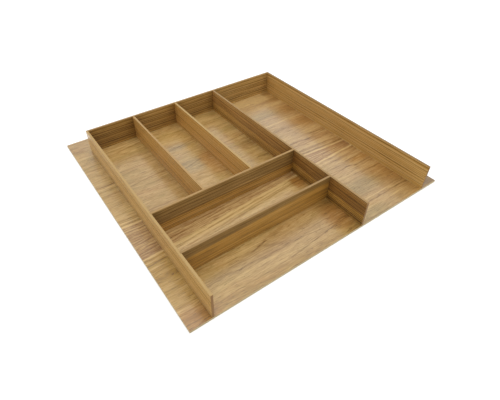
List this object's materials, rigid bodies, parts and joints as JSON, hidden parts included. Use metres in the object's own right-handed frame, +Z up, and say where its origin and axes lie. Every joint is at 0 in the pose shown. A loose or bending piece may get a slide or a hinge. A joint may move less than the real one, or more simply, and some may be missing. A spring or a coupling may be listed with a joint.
{
  "type": "cutlery tray",
  "caption": "Wooden cutlery tray for a kitchen drawer: thin glued-in walls form long slots and bays open at the front, on a flat base panel with flanges that are trimmed to fit.",
  "frame": {"origin": "middle of the base panel's underside, on the surface that the tray rests on", "axes": "+X to the right across the drawer, +Y towards the back of the drawer, +Z up out of the drawer"},
  "size_m": [0.53, 0.51, 0.054],
  "materials": {
    "base_veneer": "satin lacquered veneer with the grain across the drawer",
    "wall_veneer": "satin lacquered veneer with the grain along each wall, paler on the edges"
  },
  "bodies": {
    "root": {"base_panel": "base_veneer", "left_side_wall": "wall_veneer", "right_side_wall": "wall_veneer", "back_wall": "wall_veneer", "long_partition": "wall_veneer", "front_cross_wall": "wall_veneer", "rear_cross_wall": "wall_veneer", "left_divider": "wall_veneer", "right_divider": "wall_veneer"}
  },
  "joints": []
}
